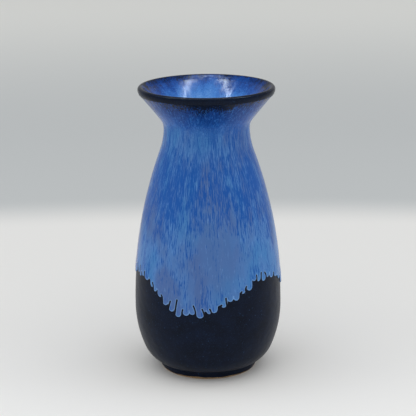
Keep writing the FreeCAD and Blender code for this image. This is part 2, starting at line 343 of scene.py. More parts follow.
def smooth_step(low: float, high: float, value: np.ndarray) -> np.ndarray:
    """0 below low, 1 above high, and a smooth rise between."""
    share = np.clip((value - low) / (high - low), 0, 1)
    return share * share * (3 - 2 * share)


def smooth_max(a: np.ndarray, b: np.ndarray, blend: float) -> np.ndarray:
    """The greater of two fields, rounded where they cross."""
    share = np.clip(0.5 + 0.5 * (a - b) / blend, 0, 1)
    return b + (a - b) * share + blend * share * (1 - share)


def ripple(angle: np.ndarray, waves: list[tuple[int, float, float]]) -> np.ndarray:
    """A sum of waves round the vase: how many go round, how high each is, and where it starts."""
    return sum(height * np.sin(count * angle + start) for count, height, start in waves)


# ---------------------------------------------------------------- finishes


def linear(colour: str) -> tuple[float, float, float, float]:
    """An sRGB hex colour, such as 4a6fa5, as the linear colour that shaders take."""
    channels = [int(colour[i : i + 2], 16) / 255 for i in (0, 2, 4)]
    return (*(c / 12.92 if c <= 0.04045 else ((c + 0.055) / 1.055) ** 2.4 for c in channels), 1.0)


def add(
    tree: bpy.types.NodeTree, kind: str, inputs: dict | None = None, stops: tuple = (), **options
) -> bpy.types.Node:
    """Adds a node.

    Args:
        tree: the material's node tree.
        kind: the node's type.
        inputs: a value, or another node's output socket, for each input by name or number.
        stops: for a colour ramp, its positions and colours.
        options: the node's own settings.

    Returns:
        The new node.
    """
    node = tree.nodes.new(kind)
    for name, value in options.items():
        setattr(node, name, value)
    for key, value in (inputs or {}).items():
        if isinstance(value, bpy.types.NodeSocket):
            tree.links.new(value, node.inputs[key])
        else:
            node.inputs[key].default_value = value
    for index, (position, colour) in enumerate(stops):
        ramp = node.color_ramp.elements
        stop = ramp[index] if index < 2 else ramp.new(position)
        stop.position = position
        stop.color = colour
    return node


def axis(tree: bpy.types.NodeTree, value: bpy.types.NodeSocket, index: int) -> bpy.types.NodeSocket:
    """One coordinate of a vector."""
    return add(tree, "ShaderNodeSeparateXYZ", {0: value}).outputs[index]


def distance(tree: bpy.types.NodeTree, place: bpy.types.NodeSocket, point: tuple) -> bpy.types.NodeSocket:
    """How far a place is from a point."""
    inputs = {0: place, 1: point}
    return add(tree, "ShaderNodeVectorMath", inputs, operation="DISTANCE").outputs["Value"]


class Colour(Enum):
    """The glazes' and clay's colours."""

    NEAR_BLACK = "0a1120"
    NAVY = "0f1a30"
    NAVY_FLECK = "28486a"
    COBALT = "1452a6"
    DEEP_COBALT = "0c3578"
    SKY = "457fbd"
    PERIWINKLE = "5180be"
    VIOLET_GREY = "4f6ea6"
    # pale blue for the streaks, and for the painted highlight along the rims of the runs
    PALE_STREAK_AND_RIM_HIGHLIGHT = "7aa8e0"
    OLIVE = "3a3528"
    AZURE = "3f82d0"
    PALE_AZURE = "7fb4ec"
    CLAY = "a98c68"
    CLAY_GRIT = "7c6244"
    FLOOR = "e4e3e0"
    # The next three floor colours are painted shade and light: a grey band, the far floor and the near
    # floor.
    BACKDROP_PAINTED_SHADE = "bdc0c0"
    FAR_PAINTED_LIGHT = "efefea"
    NEAR_PAINTED_LIGHT = "f0efec"

    @property
    def rgba(self) -> tuple[float, float, float, float]:
        """The linear colour."""
        return linear(self.value)


def new_material(name: str) -> tuple[bpy.types.Material, bpy.types.NodeTree, bpy.types.Node]:
    """An empty node material, its tree and its Principled shader, already linked to the output."""
    material = bpy.data.materials.new(name)
    material.use_nodes = True
    tree = material.node_tree
    tree.nodes.clear()
    shader = add(tree, "ShaderNodeBsdfPrincipled")
    add(tree, "ShaderNodeOutputMaterial", {"Surface": shader.outputs["BSDF"]})
    return material, tree, shader


@dataclass(frozen=True)
class Pattern:
    """The noise patterns that the glazes share, on one tree. Sizes are in millimetres."""

    tree: bpy.types.NodeTree
    place: bpy.types.NodeSocket

    def noise(self, wide: float, tall: float, detail: float = 3, shift: float = 0) -> bpy.types.NodeSocket:
        """Noise whose blotches are this wide round the vase and this tall along its side."""
        scale = (1 / wide, 1 / wide, 1 / tall)
        inputs = {"Vector": self.place, "Location": (shift, shift, shift), "Scale": scale}
        mapped = add(self.tree, "ShaderNodeMapping", inputs)
        inputs = {"Vector": mapped.outputs[0], "Scale": 1.0, "Detail": detail, "Roughness": 0.6}
        return add(self.tree, "ShaderNodeTexNoise", inputs).outputs[0]

    def math(self, operation: str, a: object, b: object = 0.0) -> bpy.types.NodeSocket:
        """One sum on two values."""
        return add(self.tree, "ShaderNodeMath", {0: a, 1: b}, operation=operation).outputs[0]

    def aside(self) -> bpy.types.NodeSocket:
        """How far to the left or the right of the vase's middle a point is."""
        return self.math("ABSOLUTE", axis(self.tree, self.place, 0))

    def rise(
        self, value: bpy.types.NodeSocket, low: float, high: float, top: float = 1
    ) -> bpy.types.NodeSocket:
        """0 where value is at low, top where it is at high, and a smooth rise between."""
        inputs = {"Value": value, "From Min": low, "From Max": high, "To Max": top}
        node = add(self.tree, "ShaderNodeMapRange", inputs, interpolation_type="SMOOTHSTEP")
        return node.outputs[0]

    def span(self, value: bpy.types.NodeSocket, low: float, high: float) -> bpy.types.NodeSocket:
        """Value measured from low, as a share of the way to high."""
        inputs = {"Value": value, "From Min": low, "From Max": high}
        return add(self.tree, "ShaderNodeMapRange", inputs).outputs[0]

    def mix(self, share: object, under: object, over: object) -> bpy.types.NodeSocket:
        """One colour laid over another by a share."""
        inputs = {0: share, 6: under, 7: over}
        return add(self.tree, "ShaderNodeMix", inputs, data_type="RGBA").outputs[2]

    def ramp(self, value: bpy.types.NodeSocket, *stops: tuple[float, Colour]) -> bpy.types.NodeSocket:
        """Colours along a value."""
        rows = [(position, colour.rgba) for position, colour in stops]
        return add(self.tree, "ShaderNodeValToRGB", {0: value}, rows).outputs[0]

    def bump(self, height: bpy.types.NodeSocket, depth: float, under: object = None) -> bpy.types.NodeSocket:
        """A relief this deep."""
        inputs = {"Height": height, "Distance": depth * MM, "Strength": 1.0}
        if under is not None:
            inputs["Normal"] = under
        return add(self.tree, "ShaderNodeBump", inputs).outputs[0]

    def dots(self, apart: float, radius: float, share: float) -> bpy.types.NodeSocket:
        """Round dots: how far apart their cells are, how big they are and which share of cells has one."""
        inputs = {"Vector": self.place, "Scale": 1 / apart}
        cells = add(self.tree, "ShaderNodeTexVoronoi", inputs)
        spot = self.rise(cells.outputs["Distance"], radius / apart, 0.5 * radius / apart)
        chance = axis(self.tree, cells.outputs["Color"], 0)
        return self.math("MULTIPLY", spot, self.math("LESS_THAN", chance, share))


def attribute(tree: bpy.types.NodeTree, name: str, output: str) -> bpy.types.NodeSocket:
    """What a piece keeps at each vertex."""
    return add(tree, "ShaderNodeAttribute", attribute_name=name).outputs[output]


def height_of(tree: bpy.types.NodeTree) -> bpy.types.NodeSocket:
    """The height above the floor in millimetres."""
    place = add(tree, "ShaderNodeTexCoord").outputs["Object"]
    return add(tree, "ShaderNodeMath", {0: axis(tree, place, 2), 1: 1 / MM}, operation="MULTIPLY").outputs[0]


def mouth_colour(pattern: Pattern, along: bpy.types.NodeSocket, crest: float) -> bpy.types.NodeSocket:
    """The blues inside the mouth: dark in grains at the lip, mottled cobalt below it, azure in the throat.

    It is darker to the left and the right, as seen from the front.

    Args:
        pattern: the patterns to use.
        along: the length along the side.
        crest: that length at the lip's crest.

    Returns:
        The colour.
    """
    depth = pattern.math("MULTIPLY", pattern.math("SUBTRACT", along, crest), 1 / 25)
    grain = pattern.math("MULTIPLY", pattern.noise(0.7, 1.0, 4, 3), 0.75)
    sweep = pattern.math("MULTIPLY", pattern.noise(9, 12, 2, 8), 0.8)
    sweep = pattern.math("SUBTRACT", sweep, pattern.math("MULTIPLY", pattern.aside(), 0.22 / CIRCLE))
    level = pattern.math("ADD", depth, pattern.math("ADD", grain, sweep))
    stops = (
        (0.0, Colour.NAVY),
        (0.12, Colour.DEEP_COBALT),
        (0.32, Colour.COBALT),
        (0.6, Colour.AZURE),
        (1.0, Colour.PALE_AZURE),
    )
    return pattern.ramp(pattern.span(level, 0.61, 1.68), *stops)


@dataclass(frozen=True)
class BareStoneware:
    """Fired stoneware clay, wiped clean of glaze: matt and sandy, with dark grit."""

    grain: float = 0.35
    roughness: float = 0.85

    def material(self) -> bpy.types.Material:
        """Builds the material."""
        material, tree, shader = new_material("bare_stoneware")
        place = add(tree, "ShaderNodeTexCoord").outputs["Object"]
        place = add(tree, "ShaderNodeMapping", {"Vector": place, "Scale": (1 / MM,) * 3}).outputs[0]
        pattern = Pattern(tree, place)
        grain = pattern.noise(self.grain, self.grain)
        colour = pattern.ramp(grain, (0.35, Colour.CLAY_GRIT), (0.6, Colour.CLAY))
        tree.links.new(colour, shader.inputs["Base Color"])
        tree.links.new(pattern.bump(grain, 0.08), shader.inputs["Normal"])
        shader.inputs["Roughness"].default_value = self.roughness
        return material


@dataclass(frozen=True)
class SatinNavyGlaze:
    """A satin iron and cobalt glaze: almost black, finely flecked with blue, with a soft sheen.

    It is glossier over the lip, and takes the lining's blue beyond the lip's crest. The crest is given as
    a length along the side.
    """

    name: str = "satin_navy_glaze"
    crest: float = 1000.0
    fleck: float = 0.55
    roughness: float = 0.36
    sheen: float = 0.09

    def material(self) -> bpy.types.Material:
        """Builds the material."""
        material, tree, shader = new_material(self.name)
        flow = attribute(tree, "flow", "Vector")
        pattern = Pattern(tree, flow)
        along = axis(tree, flow, 2)
        cloud = pattern.noise(9, 9, 2)
        fleck = pattern.noise(self.fleck, self.fleck, 2)
        under = pattern.ramp(cloud, (0.3, Colour.NEAR_BLACK), (0.9, Colour.NAVY))
        colour = pattern.mix(pattern.rise(fleck, 0.54, 0.74, 0.26), under, Colour.NAVY_FLECK.rgba)
        colour = pattern.mix(pattern.dots(1.5, 0.26, 0.2), colour, Colour.NAVY_FLECK.rgba)
        inside = pattern.rise(along, self.crest + 0.2, self.crest + 0.8)
        colour = pattern.mix(inside, colour, mouth_colour(pattern, along, self.crest))
        tree.links.new(colour, shader.inputs["Base Color"])
        gloss = pattern.rise(along, self.crest - 6, self.crest - 3, 0.16)
        rough = pattern.math("ADD", pattern.rise(fleck, 0.3, 0.7, 0.12), self.roughness - 0.06)
        tree.links.new(pattern.math("SUBTRACT", rough, gloss), shader.inputs["Roughness"])
        relief = pattern.bump(pattern.noise(6, 6, 1), 0.25)
        tree.links.new(pattern.bump(fleck, 0.02, relief), shader.inputs["Normal"])
        shader.inputs["Specular IOR Level"].default_value = self.sheen
        return material


@dataclass(frozen=True)
class BlueRunningGlaze:
    """A glossy titanium and cobalt glaze that ran: milky blue, drawn into upright cobalt streaks.

    It breaks to the dark coat in grains where it is thin under the lip, has a painted highlight
    in pale blue along the rounded rims of its runs, and turns olive along the gaps between them.
    """

    streak_width: float = 0.55
    streak_height: float = 5.0
    dark_lip: float = 158.5
    pool_length: float = 82.0
    sheen: float = 0.12

    def material(self) -> bpy.types.Material:
        """Builds the material."""
        material, tree, shader = new_material("blue_running_glaze")
        pattern = Pattern(tree, attribute(tree, "flow", "Vector"))
        height = height_of(tree)
        colour = self.streaked(pattern, height)
        colour = self.breaking(pattern, height, colour)
        colour = self.rims(pattern, colour)
        tree.links.new(colour, shader.inputs["Base Color"])
        fine = pattern.noise(2.5, 2.5, 2)
        rough = pattern.math("ADD", pattern.rise(fine, 0.3, 0.7, 0.08), 0.13)
        tree.links.new(rough, shader.inputs["Roughness"])
        relief = pattern.bump(pattern.noise(7, 18, 1, 5), 0.3)
        tree.links.new(pattern.bump(fine, 0.02, relief), shader.inputs["Normal"])
        shader.inputs["Specular IOR Level"].default_value = self.sheen
        return material

    def streaked(self, pattern: Pattern, height: bpy.types.NodeSocket) -> bpy.types.NodeSocket:
        """The milky blues with cobalt and pale streaks and a few pinholes."""
        broad = pattern.noise(16, 40, 2, 3)
        stops = ((0.38, Colour.VIOLET_GREY), (0.5, Colour.PERIWINKLE), (0.62, Colour.SKY))
        colour = pattern.ramp(broad, *stops)
        milky = self.milky_pool(pattern)
        colour = pattern.mix(milky, colour, Colour.VIOLET_GREY.rgba)
        streak = pattern.noise(self.streak_width, self.streak_height, 3)
        thread = pattern.noise(0.6 * self.streak_width, 2.2 * self.streak_height, 2, 7)
        patch = pattern.noise(8, 20, 2, 11)
        high = pattern.rise(height, 76, 108, 0.15)
        high = pattern.math("SUBTRACT", high, pattern.rise(height, 118, 134, 0.1))
        lift = pattern.math("ADD", pattern.math("MULTIPLY", patch, 0.44), high)
        lift = pattern.math("SUBTRACT", lift, pattern.math("MULTIPLY", milky, 0.12))
        streak = pattern.math("MULTIPLY", streak, 0.9)
        fine = pattern.math("ADD", streak, pattern.math("MULTIPLY", thread, 0.6))
        amount = pattern.rise(pattern.math("ADD", fine, lift), 1.0, 1.1, 0.88)
        colour = pattern.mix(amount, colour, Colour.COBALT.rgba)
        pale = pattern.rise(pattern.noise(0.7, 4, 2, 21), 0.58, 0.75, 0.3)
        colour = pattern.mix(pale, colour, Colour.PALE_STREAK_AND_RIM_HIGHLIGHT.rgba)
        return pattern.mix(pattern.dots(5, 0.28, 0.12), colour, Colour.NAVY.rgba)

    def milky_pool(self, pattern: Pattern) -> bpy.types.NodeSocket:
        """Where the streaks fade in the middle of the front, above the runs."""
        squash = {"Vector": pattern.place, "Scale": (1.0, 1.0, 0.5)}
        place = add(pattern.tree, "ShaderNodeMapping", squash).outputs[0]
        reach = distance(pattern.tree, place, (4, -CIRCLE, 0.5 * self.pool_length))
        ragged = pattern.math("MULTIPLY", pattern.noise(5, 14, 2, 43), 18)
        return pattern.rise(pattern.math("ADD", reach, ragged), 33, 14, 0.8)

    def breaking(
        self, pattern: Pattern, height: bpy.types.NodeSocket, colour: bpy.types.NodeSocket
    ) -> bpy.types.NodeSocket:
        """Deep cobalt high on the neck, and the dark coat showing in grains near the lip.

        At the left and the right, as seen from the front, both start higher, which paints light on the
        neck's sides.
        """
        grain = pattern.math("MULTIPLY", pattern.noise(0.6, 1.2, 4, 31), 22)
        sweep = pattern.math("MULTIPLY", pattern.noise(9, 9, 1, 37), 7)
        # painted light: the level drops towards the left and the right, so the neck's sides stay lighter
        sweep = pattern.math("SUBTRACT", sweep, pattern.math("MULTIPLY", pattern.aside(), 6 / CIRCLE))
        level = pattern.math("ADD", height, pattern.math("ADD", grain, sweep))
        lip = self.dark_lip + 12.5
        cobalt = pattern.rise(level, lip - 22, lip - 10, 0.8)
        colour = pattern.mix(cobalt, colour, Colour.COBALT.rgba)
        deep = pattern.rise(level, lip - 15, lip - 3, 0.9)
        colour = pattern.mix(deep, colour, Colour.DEEP_COBALT.rgba)
        speck = pattern.rise(pattern.noise(1.1, 2.2, 4, 53), 0.48, 0.68, 0.42)
        high = pattern.rise(height, 138, 148)
        colour = pattern.mix(pattern.math("MULTIPLY", speck, high), colour, Colour.AZURE.rgba)
        dark = pattern.rise(level, lip - 2.5, lip + 2)
        return pattern.mix(dark, colour, Colour.NEAR_BLACK.rgba)

    def rims(self, pattern: Pattern, colour: bpy.types.NodeSocket) -> bpy.types.NodeSocket:
        """The painted highlight along the rims of the runs and the olive sides of the gaps."""
        rim = attribute(pattern.tree, "rim", "Fac")
        cleft = attribute(pattern.tree, "cleft", "Fac")
        # painted highlight: pale blue along the rounded rims of the runs
        pale = pattern.rise(rim, 0.9, 0.35, 0.7)
        colour = pattern.mix(pale, colour, Colour.PALE_STREAK_AND_RIM_HIGHLIGHT.rgba)
        olive = pattern.math("MULTIPLY", pattern.rise(rim, 0.5, 0.15), cleft)
        colour = pattern.mix(olive, colour, Colour.OLIVE.rgba)
        edge = pattern.rise(rim, 0.22, 0.05, 0.8)
        return pattern.mix(edge, colour, Colour.NAVY.rgba)


@dataclass(frozen=True)
class BlueLiningGlaze:
    """The glossy blue lining. The lip's crest is given as a length along the side."""

    crest: float
    sheen: float = 0.25

    def material(self) -> bpy.types.Material:
        """Builds the material."""
        material, tree, shader = new_material("blue_lining_glaze")
        flow = attribute(tree, "flow", "Vector")
        pattern = Pattern(tree, flow)
        along = axis(tree, flow, 2)
        colour = mouth_colour(pattern, along, self.crest)
        colour = pattern.mix(pattern.dots(2.2, 0.3, 0.25), colour, Colour.PALE_AZURE.rgba)
        tree.links.new(colour, shader.inputs["Base Color"])
        grain = pattern.noise(1, 1.8, 2, 3)
        rough = pattern.math("ADD", pattern.rise(grain, 0.3, 0.7, 0.1), 0.12)
        tree.links.new(rough, shader.inputs["Roughness"])
        tree.links.new(pattern.bump(pattern.noise(6, 12, 1, 5), 0.2), shader.inputs["Normal"])
        shader.inputs["Specular IOR Level"].default_value = self.sheen
        return material


# ---------------------------------------------------------------- pieces


@dataclass
class Piece:
    """One layer of the vase."""

    outline: Outline
    layer: Layer
    steps: int = 192

    def follow_surface(self, piece: bpy.types.Object) -> None:
        """Keeps at each vertex its place unrolled: round a circle of one size, and along the side.

        A pattern that reads it runs down the side of the vase, whatever its slope.
        """
        rows = points_of(piece)
        line = self.outline.whole_line()
        along = self.outline.lengths(line)
        reach = np.hypot(rows[:, 0], rows[:, 1])
        out = reach[:, None] - line[:, 0]
        up = rows[:, 2, None] - line[:, 1]
        nearest = (out**2 + up**2).argmin(1)
        slope = np.gradient(line, axis=0)
        slope /= np.linalg.norm(slope, axis=1)[:, None]
        gap = np.column_stack([reach, rows[:, 2]]) - line[nearest]
        beyond = (gap * slope[nearest]).sum(1)
        self.store_flow(piece, np.arctan2(rows[:, 1], rows[:, 0]), along[nearest] + beyond)

    @staticmethod
    def store_flow(piece: bpy.types.Object, angle: np.ndarray, along: np.ndarray) -> None:
        """Keeps the unrolled place, in millimetres, on a circle of a size between the neck and the belly."""
        store(piece, "flow", np.column_stack([CIRCLE * np.cos(angle), CIRCLE * np.sin(angle), along]))

    def finish(self, piece: bpy.types.Object, material: bpy.types.Material) -> bpy.types.Object:
        """Dresses the piece and sets it in the frame in its CAD node's stead."""
        piece.data.materials.clear()
        piece.data.materials.append(material)
        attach(piece, BODY)
        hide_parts(self.layer.node)
        shape = piece.data
        log.info("%s: %d vertices, %d faces", piece.name, len(shape.vertices), len(shape.polygons))
        return piece


@dataclass
class ClayBody(Piece):
    """The fired clay: floor, wall, foot ring and lip."""

    layer: Layer = Layer.CLAY
    edge_round: float = 0.7

    def build(self) -> bpy.types.Object:
        """Spins the clay's section and dresses it."""
        shape = self.outline
        outer = shape.foot_radius
        inner = outer - shape.foot_ring_width
        edge = self.edge_round
        turns = np.linspace(0, math.pi / 2, 5)
        inner_edge = [(inner + edge * (1 - math.cos(t)), edge * (1 - math.sin(t))) for t in turns]
        outer_edge = [(outer - edge * (1 - math.sin(t)), edge * (1 - math.cos(t))) for t in turns]
        top = shape.recess_depth
        ceiling = [(0, top), (inner - 0.8, top), (inner, top - 0.8)]
        wall = [shape.outside(0, 2), shape.over_lip(0, 0.4), shape.inside(0, 2)]
        floor = [(0, wall[-1][-1][1])]
        rows = np.vstack([ceiling, inner_edge, outer_edge, *wall, floor])
        piece = turn_profile("clay_body", rows, self.steps)
        return self.finish(piece, BareStoneware().material())


@dataclass
class Wrap:
    """Where the outer coat ends inside the mouth and the lining starts."""

    outline: Outline
    thickness: float = 0.4
    reach: float = 1.6
    step: float = 1.5

    def split(self, offset: float) -> tuple[np.ndarray, np.ndarray]:
        """The inner line at an offset, above and below the joint, both with the joint's point."""
        rows = self.outline.inside(offset, self.step)
        cut = int(np.argmax(rows[:, 1] < self.outline.clay_height - self.reach))
        return rows[: cut + 1], rows[cut:]


@dataclass
class BaseCoat(Piece):
    """The satin coat outside: from the wiped foot over the lip, a little way into the mouth."""

    layer: Layer = Layer.BASE
    bare_edge: float = 1.0
    thickness: float = 0.4

    def build(self) -> bpy.types.Object:
        """Spins the coat's section, lets its wiped edge wander, and dresses it."""
        shape = self.outline
        wrap = Wrap(shape)
        foot = shape.foot_radius
        low = self.bare_edge
        outer = [
            [(foot, low), (foot + 0.25, low + 0.04), (foot + self.thickness, low + 0.3)],
            shape.outside(self.thickness, 1.2),
            shape.over_lip(self.thickness, 0.25),
            wrap.split(self.thickness)[0],
        ]
        inner = [shape.outside(0, 1.2), shape.over_lip(0, 0.25), wrap.split(0)[0]]
        rows = np.vstack([*outer, np.vstack(inner)[::-1]])
        piece = turn_profile("satin_outer_coat", rows, self.steps)
        places = points_of(piece)
        angle = np.arctan2(places[:, 1], places[:, 0])
        waves = [(3, 0.18, 0.4), (7, 0.12, 2.0), (17, 0.08, 1.1), (31, 0.05, 0.2)]
        near_edge = 1 - smooth_step(low, low + 2.2, places[:, 2])
        places[:, 2] += near_edge * ripple(angle, waves)
        place_points(piece, places)
        self.follow_surface(piece)
        return self.finish(piece, SatinNavyGlaze(crest=shape.length_to_crest()).material())


@dataclass
class LiningCoat(Piece):
    """The coat inside: from the joint under the lip to the middle of the floor."""

    layer: Layer = Layer.LINING
    thickness: float = 0.4

    def build(self) -> bpy.types.Object:
        """Spins the coat's section and dresses it."""
        wrap = Wrap(self.outline)
        front = wrap.split(self.thickness)[1]
        back = wrap.split(0)[1]
        rows = np.vstack([[(0, front[-1][1])], front[::-1], back, [(0, back[-1][1])]])
        piece = turn_profile("lining_coat", rows, self.steps)
        self.follow_surface(piece)
        return self.finish(piece, BlueLiningGlaze(self.outline.length_to_crest()).material())


@dataclass
class RecessCoat(Piece):
    """The thin coat under the floor, pooled against the foot ring."""

    layer: Layer = Layer.RECESS
    thickness: float = 0.3

    def build(self) -> bpy.types.Object:
        """Spins the coat's section and dresses it."""
        shape = self.outline
        ceiling = shape.recess_depth
        rim = shape.foot_radius - shape.foot_ring_width
        face = ceiling - self.thickness
        depths = ((2.4, 0), (1.2, 0.25), (0.5, 0.7), (0.02, 1.3))
        pool = [(rim - inwards, face - down) for inwards, down in depths]
        top = [(rim, ceiling - 0.8), (rim - 0.8, ceiling), (0, ceiling)]
        piece = turn_profile("recess_coat", np.array([(0, face), (9, face), *pool, *top]), self.steps)
        self.follow_surface(piece)
        return self.finish(piece, SatinNavyGlaze("satin_navy_recess").material())


@dataclass(frozen=True)
class Cleft:
    """A gap between two runs of glaze, from its mouth at the lower edge to its rounded head."""

    points: tuple[tuple[float, float], ...]
    width: float = 0.42

    def distance(self, across: np.ndarray, height: np.ndarray, turn: float) -> np.ndarray:
        """How far points lie outside the gap, negative inside it.

        Args:
            across: the points' places round the vase in millimetres.
            height: their heights.
            turn: the length of one whole turn round the vase.

        Returns:
            The distances in millimetres.
        """
        line = self.curve()
        offset = (across - line[0][0] + turn / 2) % turn - turn / 2
        found = np.full(len(across), 99.0)
        near = (abs(offset) < 9) & (abs(height - line[0][1]) < 14)
        offset = offset[near] + line[0][0]
        height = height[near]
        nearest = found[near]
        shares = np.linspace(0, 1, len(line))
        for start, end, share in zip(line, line[1:], shares):
            gap = end - start
            dx = offset - start[0]
            dy = height - start[1]
            along = np.clip((dx * gap[0] + dy * gap[1]) / (gap @ gap), 0, 1)
            half = self.width * (0.5 - 0.35 * share * (1 - share) + 0.12 * share**2)
            nearest = np.minimum(nearest, np.hypot(dx - along * gap[0], dy - along * gap[1]) - half)
        found[near] = nearest
        return found

    def curve(self) -> np.ndarray:
        """The gap's middle line in millimetres, smoothed between its points."""
        points = np.array([(RunningCoat.across(angle), height) for angle, height in self.points])
        knots = np.arange(len(points))
        fine = np.linspace(0, len(points) - 1, 3 * len(points))
        plain = np.column_stack([np.interp(fine, knots, points[:, axis]) for axis in (0, 1)])
        smooth = plain.copy()
        smooth[1:-1] = (plain[:-2] + 2 * plain[1:-1] + plain[2:]) / 4
        return smooth


@dataclass
class RunningCoat(Piece):
    """The glossy coat that ran down over the base coat and stopped in separate rounded runs."""

    layer: Layer = Layer.RUNNING
    under: float = 0.4
    thickness: float = 0.5
    top_height: float = 161.3
    low_height: float = 38.0
    cell: float = 2.0
    cuts: int = 5
    drip_height: float = 52.5
    drip_swing: float = 8.5
    drip_lean: float = 1.5
    drip_turn: float = -10.0
    swags: int = 3
    run_count: int = 66
    joined: float = 0.2
    seed: int = 32
    girth: float = 42.0

    @staticmethod
    def across(degrees: float) -> float:
        """How far round the vase an angle is, in millimetres at the belly."""
        return math.radians(degrees) * RunningCoat.girth

    def drip_level(self, degrees: float) -> float:
        """The height of the coat's lower edge at an angle from the front, before it parts into runs.

        It hangs in equal swags, lowest near the front, and wanders a little.
        """
        turn = math.radians(degrees - self.drip_turn)
        swag = self.drip_swing * math.cos(self.swags * turn) + self.drip_lean * math.cos(turn)
        wander = ripple(turn, [(6, 0.5, -1.2), (8, 0.8, 0.6), (13, 0.6, 2.4)])
        return self.drip_height - swag + wander

    def runs(self) -> tuple[list[tuple[float, float]], list[Cleft]]:
        """The runs of glaze, spaced by chance along the lower edge, and the gaps between them.

        Gaps are longer where the coat ran farther, and a share of the runs stay joined, with no gap.

        Returns:
            The runs' angles in degrees and the heights of their lowest points, in order, and the gaps.
        """
        chance = random.Random(self.seed)
        space = 360 / self.run_count
        starts = [space * (count + chance.uniform(-0.26, 0.26)) - 180 for count in range(self.run_count)]
        runs = [(angle, self.drip_level(angle) + chance.uniform(-1.3, 1.2)) for angle in starts]
        clefts = []
        for angle, after in zip(starts, starts[1:] + [starts[0] + 360]):
            mouth = (angle + after) / 2
            low = self.drip_level(mouth)
            far = (self.drip_height + self.drip_swing - low) / (2 * self.drip_swing)
            rise = chance.uniform(1.8, 5.0) + chance.uniform(0.6, 3.2) * far
            lean = chance.uniform(-1.1, 1.1)
            hook = chance.uniform(-1.6, 1.6)
            bend = (mouth + lean, low + 0.55 * rise)
            head = (mouth + lean + hook, low + rise)
            width = chance.uniform(0.3, 0.46)
            if chance.random() > self.joined:
                clefts.append(Cleft(((mouth, low - 1), bend, head), width))
        return runs, clefts

    def field(self, rows: np.ndarray) -> tuple[np.ndarray, np.ndarray]:
        """How far points lie inside the coat's outline.

        Args:
            rows: the points' angles, heights and anything else, one row each.

        Returns:
            The distances to the outline, negative outside it, and how near the points are to a gap.
        """
        turn = self.across(360)
        across = rows[:, 0] * self.girth
        height = rows[:, 1]
        runs, clefts = self.runs()
        angles = np.array([angle for angle, _ in runs])
        tips = np.array([tip for _, tip in runs])
        degrees = np.degrees(rows[:, 0])
        inside = height - np.interp(degrees, angles, tips, period=360) - 2.6
        spaces = (np.roll(angles, -1) - np.roll(angles, 1)) % 360
        for angle, tip, space in zip(angles, tips, spaces):
            radius = min(2.6, 0.27 * self.across(space))
            dx = (across - self.across(angle) + turn / 2) % turn - turn / 2
            dy = np.minimum(0, height - tip - 1.15 * radius)
            dy = dy - np.maximum(0, height - tip - 9)
            inside = smooth_max(inside, radius - np.hypot(dx, dy / 1.15), 0.35)
        nearest = np.full(len(rows), 99.0)
        for cleft in clefts:
            nearest = np.minimum(nearest, cleft.distance(across, height, turn))
        inside = -smooth_max(-inside, -nearest, 0.12)
        return inside, 1 - smooth_step(0.2, 1.3, nearest)

    def flat_sheet(self) -> bpy.types.Object:
        """The coat unrolled: angle across, height up, and the distance from its outline as the third.

        The sheet is cut where that distance is nought.
        """
        deselect_all()
        columns = round(self.across(360) / self.cell)
        count = round((self.top_height - self.low_height) / self.cell)
        bpy.ops.mesh.primitive_grid_add(x_subdivisions=columns, y_subdivisions=count, size=2)
        sheet = bpy.context.object
        sheet.name = sheet.data.name = "running_coat"
        rows = points_of(sheet) * MM
        rows[:, 0] *= math.pi
        rows[:, 1] = self.low_height + (rows[:, 1] + 1) / 2 * (self.top_height - self.low_height)
        rows[:, 2] = self.field(rows)[0]
        place_points(sheet, rows / MM)
        self.refine(sheet, columns)
        rows = points_of(sheet) * MM
        rows[:, 2] = self.field(rows)[0]
        place_points(sheet, rows / MM)
        bpy.ops.object.mode_set(mode="EDIT")
        bpy.ops.mesh.select_all(action="SELECT")
        bpy.ops.mesh.bisect(plane_co=(0, 0, 0), plane_no=(0, 0, 1), clear_inner=True, threshold=1e-6)
        bpy.ops.object.mode_set(mode="OBJECT")
        return sheet

    def refine(self, sheet: bpy.types.Object, columns: int) -> None:
        """Divides the cells near the outline, and all those in its reach beside the seam."""
        seam = math.pi * (1 - 3 / columns)
        ceiling = self.drip_height + self.drip_swing + 12

        def needs_detail(face: bpy.types.MeshPolygon) -> bool:
            depths = [sheet.data.vertices[i].co.z for i in face.vertices]
            near = min(depths) < 2.0 and max(depths) > -1.2
            return near or (abs(face.center.x) > seam and face.center.y < ceiling)

        select_faces(sheet, needs_detail)
        bpy.ops.mesh.subdivide(number_cuts=self.cuts, smoothness=0, ngon=True)
        leave_faces()

    @staticmethod
    def open_seam(sheet: bpy.types.Object) -> None:
        """Takes away the walls along the seam, which would lie inside the coat once its ends meet."""
        seam = math.pi - 1e-4
        corners = sheet.data.vertices
        select_faces(sheet, lambda face: all(abs(corners[i].co.x) > seam for i in face.vertices))
        bpy.ops.mesh.delete(type="FACE")
        leave_faces()

    def side_line(self) -> tuple[np.ndarray, np.ndarray, np.ndarray]:
        """The clay's outer line: its points, its outward normals, and the length along it."""
        line = self.outline.outside(0, 0.3)
        slope = np.gradient(line, axis=0)
        slope /= np.linalg.norm(slope, axis=1)[:, None]
        normal = np.column_stack([slope[:, 1], -slope[:, 0]])
        return line, normal, self.outline.lengths(line)

    def depth(self, angle: np.ndarray, height: np.ndarray, rim: np.ndarray) -> np.ndarray:
        """How thick the coat is: rounded at its rims, fat just above them, and thin at the lip."""
        round_width = 0.55
        share = np.clip(rim / round_width, 0, 1)
        rounded = 0.14 + 0.86 * np.sqrt(1 - (1 - share) ** 2)
        fat = 0.3 * np.exp(-(((rim - 1.3) / 1.1) ** 2))
        waves = [(5, 0.3, 0.7), (11, 0.25, 1.9), (19, 0.25, 3.1), (29, 0.2, 0.3)]
        fade = 1 - smooth_step(70, 130, height)
        runs = 0.16 * fade * ripple(angle + 0.01 * np.sin(height / 9), waves)
        thin = 1 - 0.85 * smooth_step(self.top_height - 9, self.top_height, height)
        return self.thickness * (rounded * thin * (1 + runs) + fat * (rim < 6))

